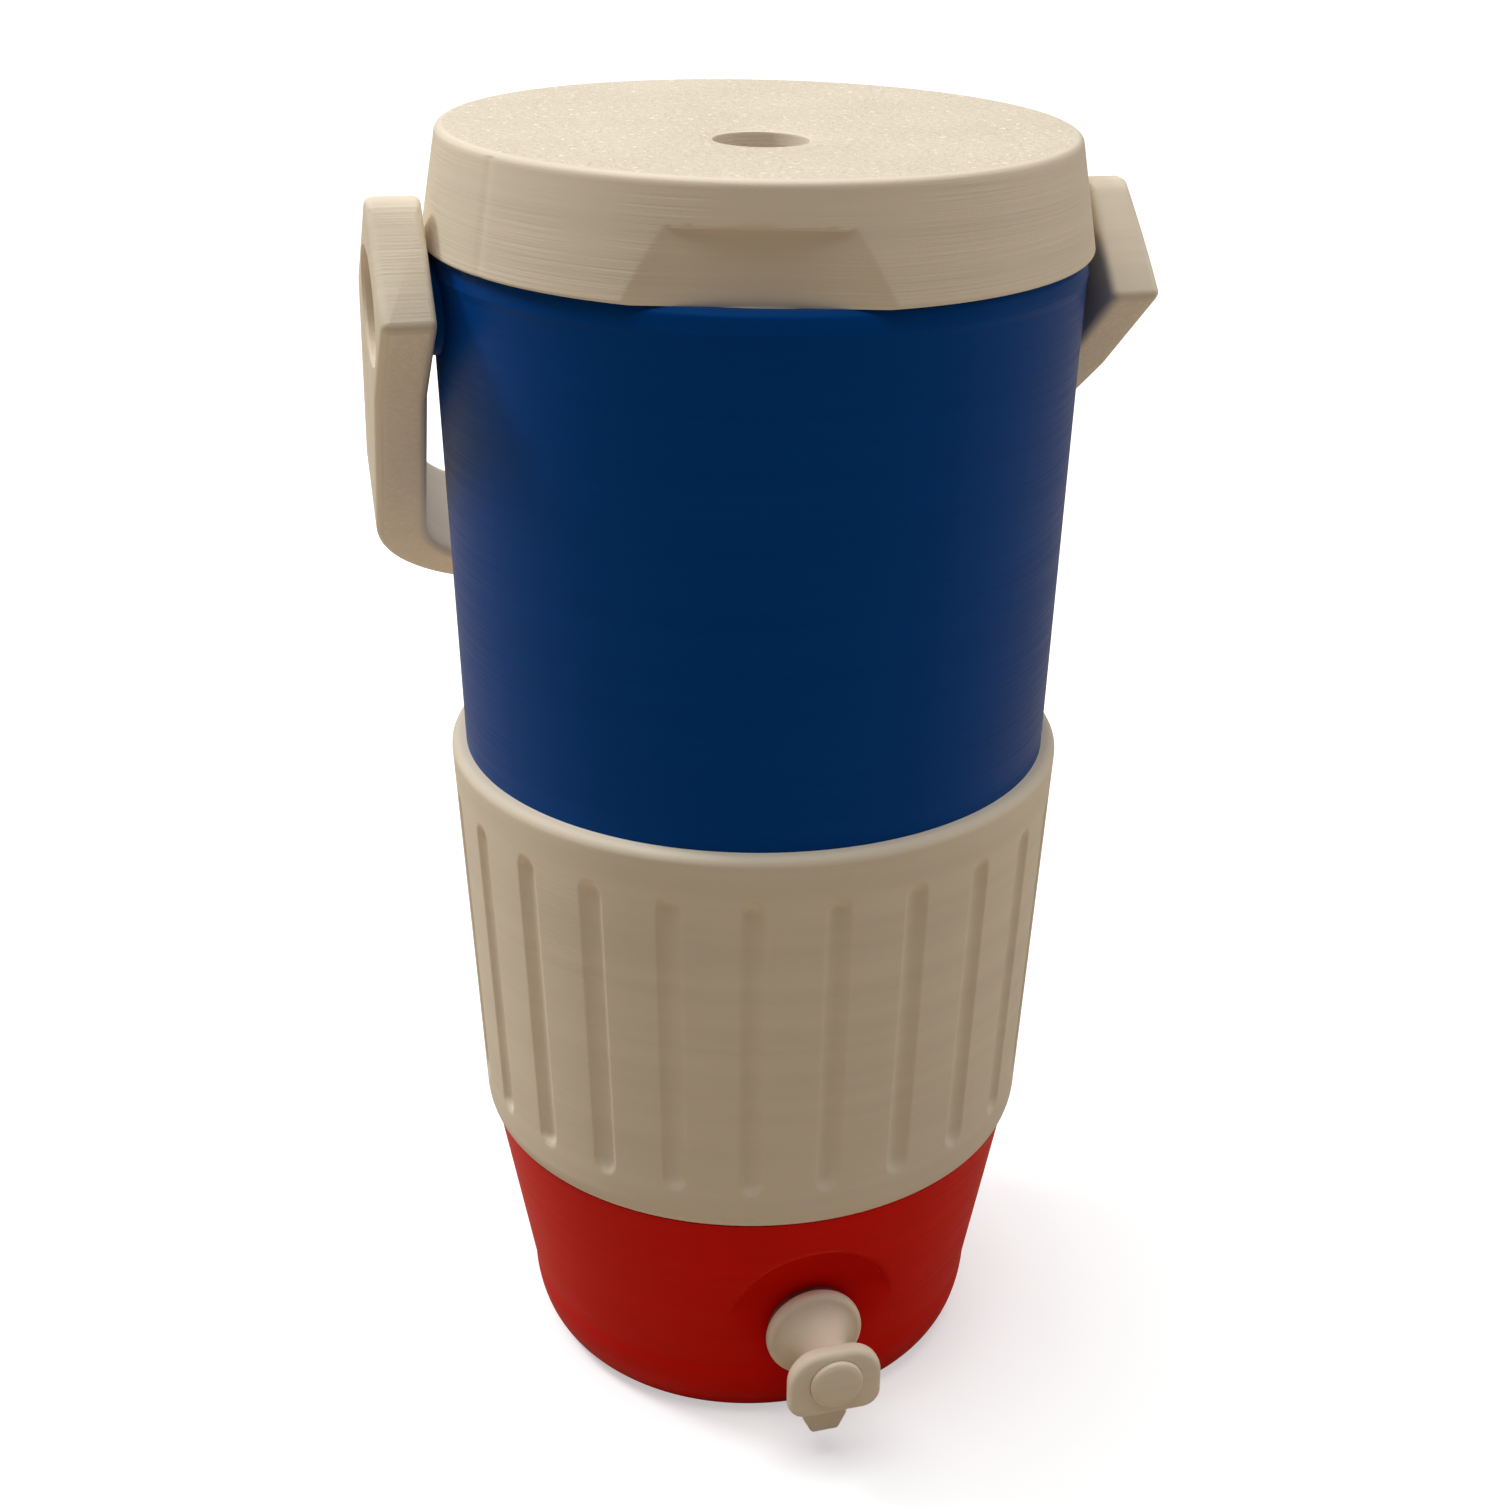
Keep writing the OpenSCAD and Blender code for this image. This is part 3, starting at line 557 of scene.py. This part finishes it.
def upper_shell():
    """Blue upper shell: a slow taper, a bead below the lid and two bosses for the handle."""
    seat_r, seat_z = FLANGE_R + FLANGE_GAP, RIM_Z - FLANGE_T
    outline = np.vstack([
        rounded([(BAND_BORE, SEAT_Z), (SEAT_R - PRESS_GAP, SEAT_Z), (SEAT_R - PRESS_GAP, BAND_TOP_Z),
                 (SHELL_LOW_R, BAND_TOP_Z)]),
        rounded([(SHELL_LOW_R, BAND_TOP_Z), (SHELL_TOP_R - 0.12, RIM_Z - 3.4, 1.0),
                 (SHELL_TOP_R + 0.05, RIM_Z - 2.6, 0.7), (SHELL_TOP_R - 0.2, RIM_Z - 0.7, 0.8),
                 (SHELL_TOP_R - 0.9, RIM_Z)], step=4)[1:],
        [(seat_r, RIM_Z), (seat_r, seat_z), (SHELL_BORE, seat_z)],
    ])
    boss = rounded([(0, PIVOT_ROOT_X), (BOSS_R, PIVOT_ROOT_X), (BOSS_R, BOSS_FACE, 0.4), (0, BOSS_FACE)])
    return joined(revolve(outline, around(360)), on_pivot(boss, 64, 1), on_pivot(boss, 64, -1))


# --- Lid ---

def lid_cap():
    """White lid with two bevelled finger notches and a straw tube set off its centre.

    The third number of an outline point says how far it moves with the tube: 0 on the rim, 1 on the tube.
    """
    top, under = LID_TOP_Z, LID_TOP_Z - LID_PLATE
    side = rounded([(SKIRT_BORE, RIM_Z), (LID_R, RIM_Z, 0.35), (LID_TOP_R, top, 1.0), (LID_TOP_R - 3, top)],
                   step=0.25)
    rim_end = next(i for i in range(len(side)) if side[i][1] > top - 1e-6)
    side = side[:rim_end + 1]
    rings = [(side[-1][0] + (STRAW_R + 0.4 - side[-1][0]) * t, top, t) for t in np.linspace(0, 1, 16)[1:]]
    hole = [(STRAW_R + 0.12, top - 0.12, 1), (STRAW_R, top - 0.4, 1), (STRAW_R, TUBE_LOW_Z + 0.3, 1),
            (STRAW_R + 0.3, TUBE_LOW_Z, 1), (STRAW_TUBE_R - 0.3, TUBE_LOW_Z, 1),
            (STRAW_TUBE_R, TUBE_LOW_Z + 0.3, 1), (STRAW_TUBE_R, under, 1)]
    inner = [(STRAW_TUBE_R + (SKIRT_BORE - STRAW_TUBE_R) * t, under, 1 - t) for t in np.linspace(0, 1, 8)[1:]]
    outline = np.array([(r, z, 0) for r, z in side] + rings + hole + inner)
    on_side = np.arange(len(outline)) < len(side)

    def notched(r, z, turn):
        kept = r
        up = z - RIM_Z
        half = NOTCH_LOW_HALF + (NOTCH_TOP_HALF - NOTCH_LOW_HALF) * up / NOTCH_H
        for centre in (0, math.pi):
            across, forward = r * np.sin(turn - centre), r * np.cos(turn - centre)
            beyond = np.maximum(np.abs(across) - half - 0.5, NOTCH_TOP_SLOPE * (up - NOTCH_H))
            floor = NOTCH_FLOOR + NOTCH_SLOPE * np.maximum(beyond, 0)
            facing = forward > SKIRT_BORE * 0.5
            cut = np.where(facing, soft_min(forward, floor, NOTCH_CREASE) / np.where(facing, forward, 1), 1)
            on_wall = on_side[None, :] & (r > SKIRT_BORE + 1)
            kept = np.where(on_wall, np.minimum(kept, r * np.minimum(cut, 1)), kept)
        off = (np.mod(turn - SEAM_TURN + math.pi, TURN) - math.pi) * LID_R
        seam = SEAM_DEPTH * np.exp(-(off / SEAM_HALF) ** 2)
        return kept - np.where(on_side[None, :] & (r > LID_TOP_R), seam, 0)

    near = math.radians(24)
    one = np.concatenate([np.linspace(-near, near, 192, endpoint=False),
                          np.linspace(near, math.pi - near, 220, endpoint=False)])
    r, z, turn = grid(outline, np.concatenate([one, one + math.pi]))
    r = notched(r, z, turn)
    y = -r * np.cos(turn) - STRAW_OFFSET * outline[None, :, 2]
    verts = np.stack([r * np.sin(turn), y, z], -1).reshape(-1, 3)
    return turned(verts, LID_TURN), stitch(2 * len(one), len(outline), True)


# --- Bail handle ---

def strap_t(u):
    """Thickness of the strap at u down the arms."""
    return np.interp(u, [ARM_STRAIGHT_U, BAIL_LEN - BAIL_CORNER_R], [HUB_T, STRAP_T])


def bail_path():
    """Centre line of the strap, as points (x, u) from one arm's end to the other's."""
    wide = BAIL_HALF_W - HUB_T / 2
    low_wide = BAIL_HALF_W - ARM_LEAN_IN - STRAP_T / 2
    corner, corner_u = BAIL_CORNER_R - STRAP_T / 2, BAIL_LEN - BAIL_CORNER_R
    arm = rounded([(wide, BAIL_TOP_U), (wide, ARM_STRAIGHT_U, 30), (low_wide, corner_u)], step=1.5)
    bend = [(low_wide - corner + corner * math.cos(t), corner_u + corner * math.sin(t))
            for t in quarter(22)[1:]]
    grip = [(x, BAIL_LEN - STRAP_T / 2) for x in np.linspace(low_wide - corner, 0, 8)[1:]]
    half = np.array(list(arm) + bend + grip)
    return np.vstack([half, (half * [-1, 1])[-2::-1]])


def strap_section(point, out, v_low, v_high, half_t, soft):
    """Rounded rectangle across the strap at a point (x, u), as points (x, v, u)."""
    corners = []
    for ct, cv, start in ((half_t - soft, v_high - soft, 0), (soft - half_t, v_high - soft, 90),
                          (soft - half_t, v_low + soft, 180), (half_t - soft, v_low + soft, 270)):
        for k in range(5):
            a = math.radians(start + 22.5 * k)
            corners.append((ct + soft * math.cos(a), cv + soft * math.sin(a)))
    spaced = []
    for p, q in zip(corners, corners[1:] + corners[:1]):
        n = 6 if math.dist(p, q) > 2 else 1
        spaced += [(p[0] + (q[0] - p[0]) * k / n, p[1] + (q[1] - p[1]) * k / n) for k in range(n)]
    return [(point[0] + out[0] * t, v, point[1] + out[1] * t) for t, v in spaced]


def strap_edges(u):
    """Lowest and highest v of the strap at u, with the rounded rear corner of each arm's end."""
    t = np.clip((u - ARM_STRAIGHT_U) / (BAIL_LEN - BAIL_CORNER_R - ARM_STRAIGHT_U), 0, 1)
    half = HUB_HALF + (GRIP_HALF - HUB_HALF) * t
    fall = max(HUB_ROUND - (u - BAIL_TOP_U), 0)
    return -half, half - HUB_ROUND + math.sqrt(HUB_ROUND ** 2 - min(fall, HUB_ROUND) ** 2)


def bail_handle():
    """White strap handle: straight arms that lean in, round corners, a level grip and a toed-in right arm."""
    path = bail_path()
    along = np.gradient(path, axis=0)
    along /= np.linalg.norm(along, axis=1)[:, None]
    normal = np.stack([along[:, 1], -along[:, 0]], -1)
    half = len(path) // 2
    rings = []
    for a in np.radians([90, 67.5, 45, 22.5]):
        inset = STRAP_EDGE * (1 - math.cos(a))
        u = BAIL_TOP_U + STRAP_EDGE * (1 - math.sin(a))
        v_low, v_high = strap_edges(u + 0.02)
        rings.append(strap_section((path[0][0], u), (1, 0), v_low + inset, v_high - inset, HUB_T / 2 - inset,
                                   max(STRAP_EDGE - inset, 0.05)))
    near_end = [((path[0][0], BAIL_TOP_U + STRAP_EDGE + k * 0.35), (1, 0)) for k in range(1, 9)]
    rest = [(path[i], normal[i]) for i in range(half + 1) if path[i][1] > near_end[-1][0][1] + 0.3]
    for point, out in near_end + rest:
        v_low, v_high = strap_edges(point[1])
        rings.append(strap_section(point, out, v_low, v_high, strap_t(point[1]) / 2, STRAP_EDGE))
    rings += [[(-x, v, u) for x, v, u in ring] for ring in rings[-2::-1]]
    x, v, u = np.array([p for ring in rings for p in ring]).T
    inner_x = BAIL_HALF_W - HUB_T
    toe = ARM_TOE_IN * ((v + HUB_HALF) / (2 * HUB_HALF)) ** 1.5 * (1 - smooth_step(-2, 14, u))
    x = x - toe * np.clip((x - inner_x) / HUB_T, 0, 1)
    y = u * math.sin(BAIL_LEAN) + v * math.cos(BAIL_LEAN)
    z = PIVOT_Z - u * math.cos(BAIL_LEAN) + v * math.sin(BAIL_LEAN)
    return np.stack([x, y, z], -1), capped_tube(rings)


def drill(obj, cutters, body):
    """Cuts shapes given as (verts, faces) out of a piece."""
    bpy.context.view_layer.objects.active = obj
    for i, shape in enumerate(cutters):
        tool = piece(f"tool_{obj.name}_{i}", shape, body, obj.data.materials[0])
        cut = obj.modifiers.new("cut", "BOOLEAN")
        cut.object, cut.operation, cut.solver = tool, "DIFFERENCE", "EXACT"
        bpy.ops.object.modifier_apply(modifier=cut.name)
        bpy.data.objects.remove(tool)
    obj.data.set_sharp_from_angle(angle=math.radians(32))


def hub_cutters():
    """Recess for each pin's head, and the bore behind it."""
    floor = BAIL_HALF_W - RECESS_DEPTH
    soft = 0.35
    bore_r, bore_x, past = PIN_R + PIN_GAP, floor - 6, BAIL_HALF_W + 1
    outline = rounded([(0, bore_x), (bore_r, bore_x), (bore_r, floor), (RECESS_R, floor, 0.4),
                       (RECESS_R, BAIL_HALF_W - soft), (RECESS_R + soft, BAIL_HALF_W),
                       (RECESS_R + soft, past), (0, past)])
    return [on_pivot(outline, 72, side) for side in (1, -1)]


def pivot_pin(side):
    """Pin with a domed head in the handle's recess, on the side +1 or -1."""
    head_low = BAIL_HALF_W - RECESS_DEPTH + HEAD_GAP
    head_high = head_low + HEAD_T
    outline = rounded([(0, PIVOT_ROOT_X), (PIN_R, PIVOT_ROOT_X), (PIN_R, head_low), (HEAD_R, head_low, 0.2),
                       (HEAD_R, head_high - 0.5, 0.5), (HEAD_R - 1.6, head_high, 1.5), (0, head_high)])
    return on_pivot(outline, 72, side)


# --- Tap ---

def prism(outline, z_low, z_high, edge):
    """Solid with a convex outline whose long edges are rounded by edge."""
    arc = quarter(5)
    levels = [(z_low + edge * (1 - math.cos(a)), edge * (1 - math.sin(a))) for a in arc]
    levels += [(z_high - edge * (1 - math.cos(a)), edge * (1 - math.sin(a))) for a in arc[::-1]]
    pts = np.array(outline, float)
    along = np.roll(pts, -1, 0) - np.roll(pts, 1, 0)
    along /= np.linalg.norm(along, axis=1)[:, None]
    inward = np.stack([-along[:, 1], along[:, 0]], -1)
    rings = [np.column_stack([pts + inward * inset, np.full(len(pts), z)]) for z, inset in levels]
    return np.vstack(rings), capped_tube(rings)


def tap_body():
    """Overlapping solids of the tap: turned stem, front plate and spout."""
    throat_h, stem_end_h = TAP_FLANGE_H + TAP_FLANGE_T, PLATE_BACK_H + 0.6
    narrowing, rise, flaring = THROAT_R - NECK_R, NECK_H - throat_h, FLARE_R - NECK_R
    trumpet = [(THROAT_R - narrowing * math.sin(t), throat_h + rise * (1 - math.cos(t))) for t in quarter(16)]
    flare = [(FLARE_R - flaring * math.cos(t), PLATE_BACK_H - flaring * (1 - math.sin(t)))
             for t in quarter(8)]
    shank = rounded([(0, SHANK_IN_H), (SHANK_R, SHANK_IN_H, 0.3), (SHANK_R, TAP_FLANGE_H),
                     (TAP_FLANGE_R, TAP_FLANGE_H, 0.3), (TAP_FLANGE_R, throat_h, 0.85), (THROAT_R, throat_h)])
    stem = on_tap(np.vstack([shank, trumpet[1:], flare, [(FLARE_R, stem_end_h), (0, stem_end_h)]]), 96)
    w, up, down = PLATE_HALF_W, PLATE_UP, -PLATE_DOWN
    front = round_outline([(-w, down, 2.5), (w, down, 2.5), (w, up, 4.6), (-w, up, 4.6)])
    plate, faces = prism(front, PLATE_BACK_H, PLATE_FACE_H, 0.9)
    tip, shoulder, root = SPOUT_TIP_Z - TAP_Z, SPOUT_TIP_Z - TAP_Z + 2.5, -0.5
    right = [(SPOUT_TIP_HALF, tip, 0.5), (SPOUT_HALF, shoulder, 1.2), (SPOUT_HALF, root, 0.3)]
    left = [(-x, y, radius) for x, y, radius in right[::-1]]
    spout = round_outline(left[-1:] + right + left[:-1], 5)
    nose, nose_faces = prism(spout, SPOUT_LOW_H, SPOUT_HIGH_H, 0.5)
    return joined(stem, (to_tap(plate), faces), (to_tap(nose), nose_faces))


def fuse(obj, voxel, passes):
    """Makes one soft skin of a piece's overlapping solids."""
    bpy.context.view_layer.objects.active = obj
    skin = obj.modifiers.new("skin", "REMESH")
    skin.mode, skin.voxel_size, skin.use_smooth_shade = "VOXEL", voxel, True
    bpy.ops.object.modifier_apply(modifier=skin.name)
    relax = obj.modifiers.new("relax", "SMOOTH")
    relax.factor, relax.iterations = 0.5, passes
    bpy.ops.object.modifier_apply(modifier=relax.name)
    obj.data.shade_smooth()


def tap_cutters():
    """Bores of the tap: push button, outlet of the spout and the water's way."""
    bore_r, bevel, past = BUTTON_R + BUTTON_GAP, 0.08, PLATE_FACE_H + 1
    bore = rounded([(0, CHAMBER_H), (bore_r, CHAMBER_H), (bore_r, PLATE_FACE_H - bevel),
                    (bore_r + bevel, PLATE_FACE_H), (bore_r + bevel, past), (0, past)])
    drop = [(0, -TAP_Z), (OUTLET_R, -TAP_Z), (OUTLET_R, OUTLET_TOP), (0, OUTLET_TOP)]
    verts, faces = revolve(drop, around(40), solid_ends=True)
    outlet = verts + [0, -OUTLET_H, TAP_Z], faces
    water = [(0, SHANK_IN_H - 1), (WATER_R, SHANK_IN_H - 1), (WATER_R, WATER_END_H), (ROD_R, WATER_END_H),
             (ROD_R, SPRING_FLOOR_H), (SPRING_BORE, SPRING_FLOOR_H), (SPRING_BORE, CHAMBER_H + 0.1),
             (0, CHAMBER_H + 0.1)]
    return [on_tap(bore, 96), outlet, on_tap(water, 48)]


def tap_button():
    """Round push button with a domed face and a groove for its sealing ring."""
    face = PLATE_FACE_H + BUTTON_PROUD
    r, groove_r = BUTTON_R, BUTTON_R - RING_DEPTH
    outline = rounded([(0, BUTTON_BACK_H), (r, BUTTON_BACK_H), (r, RING_LOW_H), (groove_r, RING_LOW_H),
                       (groove_r, RING_HIGH_H), (r, RING_HIGH_H), (r, face - 0.25, 0.35),
                       (r - 0.7, face, 1.6), (0, face)])
    return on_tap(outline, 96)


def return_spring():
    """Round wire coiled from the tap's inner seat to the back of the button."""
    gap, sides, per_turn = 0.02, 12, 36
    low_h, high_h = SPRING_FLOOR_H + WIRE_R + gap, BUTTON_BACK_H - WIRE_R - gap
    turn = np.linspace(0, SPRING_TURNS * TURN, round(SPRING_TURNS * per_turn) + 1)[:, None]
    b = around(sides)[None, :]
    r = SPRING_R + WIRE_R * np.cos(b)
    h = low_h + (high_h - low_h) * turn / (SPRING_TURNS * TURN) + WIRE_R * np.sin(b)
    rings = np.stack([r * np.cos(turn), r * np.sin(turn), h], -1)
    return to_tap(rings.reshape(-1, 3)), capped_tube(rings)


# --- Pieces on their bodies ---

piece("base_print", base_shell(), "vessel", red, ["base_shell"])
piece("band_print", ribbed_band(), "vessel", white_band, ["ribbed_band"])
piece("upper_print", upper_shell(), "vessel", blue, ["upper_shell"])
piece("right_pin_print", pivot_pin(1), "vessel", white, ["right_pivot_pin"])
piece("left_pin_print", pivot_pin(-1), "vessel", white, ["left_pivot_pin"])

lid = piece("lid_print", lid_cap(), "lid", white, ["lid_cap"])
lid.data.materials.append(lid_top)
for polygon in lid.data.polygons:
    if polygon.normal.z > 0.999 and polygon.center.z > (LID_TOP_Z - 0.05) * MM:
        polygon.material_index = 1

bail = piece("bail_print", bail_handle(), "bail", white_bail, ["bail_handle"])
drill(bail, hub_cutters(), "bail")
bail.data.materials.append(bail_face)
plate_side = Vector((0, -math.cos(BAIL_LEAN), -math.sin(BAIL_LEAN)))
for polygon in bail.data.polygons:
    if polygon.normal.dot(plate_side) > 0.999:
        polygon.material_index = 1

tap = piece("tap_print", tap_body(), "vessel", white_tap, ["tap_body"])
fuse(tap, 0.00014, 4)
drill(tap, tap_cutters(), "vessel")
piece("button_print", tap_button(), "button", white_tap, ["tap_button"])
spring = piece("spring_wire", return_spring(), "vessel", steel, ["return_spring"])
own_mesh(spring)


# --- Stage, light and camera ---

def stage_floor():
    """Pale floor. It gives back a dim warm light, so the sides stay as dark as on a cluttered table."""
    mesh = bpy.data.meshes.new("floor")
    half = 40.0
    corners = [(-half, -half, 0), (half, -half, 0), (half, half, 0), (-half, half, 0)]
    mesh.from_pydata(corners, [], [(0, 1, 2, 3)])
    s = Shader("floor_pale")
    mottle = s.noise(6.0, detail=3.0)
    pale = s.mix(mottle, (0.66, 0.68, 0.7), (0.7, 0.72, 0.74))
    seen = s.node("ShaderNodeLightPath").outputs["Is Camera Ray"]
    s.link(s.mix(seen, (0.44, 0.37, 0.29), pale), s.out, "Base Color")
    s.link(s.math("MULTIPLY", seen, 0.48), s.out, "Emission Strength")
    s.set(Roughness=0.9, Specular_IOR_Level=0.0, Emission_Color=(1, 1, 1, 1))
    mesh.materials.append(s.material)
    floor = bpy.data.objects.new("floor", mesh)
    bpy.context.scene.collection.objects.link(floor)


def area_light(name, place, target, size, power, color):
    """Disk of light aimed at a target, that leaves no glare on the plastic."""
    data = bpy.data.lights.new(name, "AREA")
    data.shape, data.size, data.energy, data.color = "DISK", size, power, color
    light = bpy.data.objects.new(name, data)
    light.location = place
    light.rotation_euler = (Vector(target) - Vector(place)).to_track_quat("-Z", "Y").to_euler()
    light.visible_glossy = False
    bpy.context.scene.collection.objects.link(light)


def overhead_light(strength, softness_deg, color):
    """Wide soft light from almost straight above."""
    data = bpy.data.lights.new("overhead", "SUN")
    data.energy, data.angle, data.color = strength, math.radians(softness_deg), color
    light = bpy.data.objects.new("overhead", data)
    light.rotation_euler = (math.radians(-6), math.radians(-5), 0)
    bpy.context.scene.collection.objects.link(light)


def pale_world(seen, given):
    """Backdrop seen by the camera, and the dimmer light that the room gives."""
    world = bpy.data.worlds.new("room")
    world.use_nodes = True
    tree = world.node_tree
    back = tree.nodes["Background"]
    rays = tree.nodes.new("ShaderNodeLightPath")
    pick = tree.nodes.new("ShaderNodeMix")
    pick.inputs[2].default_value, pick.inputs[3].default_value = given, seen
    tree.links.new(rays.outputs["Is Camera Ray"], pick.inputs[0])
    tree.links.new(pick.outputs[0], back.inputs["Strength"])
    back.inputs["Color"].default_value = (1, 1, 1, 1)
    bpy.context.scene.world = world


def camera(place, heading, pitch, roll, lens, shift):
    """Heading turns from +Y towards +X, pitch is down and roll is anticlockwise, in degrees."""
    data = bpy.data.cameras.new("camera")
    data.lens, data.sensor_width = lens, 36.0
    data.shift_x, data.shift_y = shift
    data.clip_start, data.clip_end = 0.01, 200
    cam = bpy.data.objects.new("camera", data)
    turn = (Matrix.Rotation(math.radians(-heading), 4, "Z")
            @ Matrix.Rotation(math.radians(90 - pitch), 4, "X")
            @ Matrix.Rotation(math.radians(roll), 4, "Z"))
    cam.matrix_world = Matrix.Translation(place) @ turn
    bpy.context.scene.collection.objects.link(cam)
    bpy.context.scene.camera = cam


stage_floor()
overhead_light(2.7, 60, (1.0, 0.99, 0.96))
area_light("left_window", (-0.58, 0.4, 0.82), (0, 0, 0.1), 0.25, 4.9, (0.95, 0.98, 1.0))
area_light("right_window", (0.95, -0.1, 0.35), (0, 0, 0.1), 1.0, 2.5, (1.0, 0.99, 0.97))
pale_world(1.1, 0.08)
camera((-0.0697, -0.258, 0.2117), 17.67, 25.12, 1.65, 51.36, (-0.0568, 0.0075))
bpy.context.scene.view_settings.view_transform = "Standard"
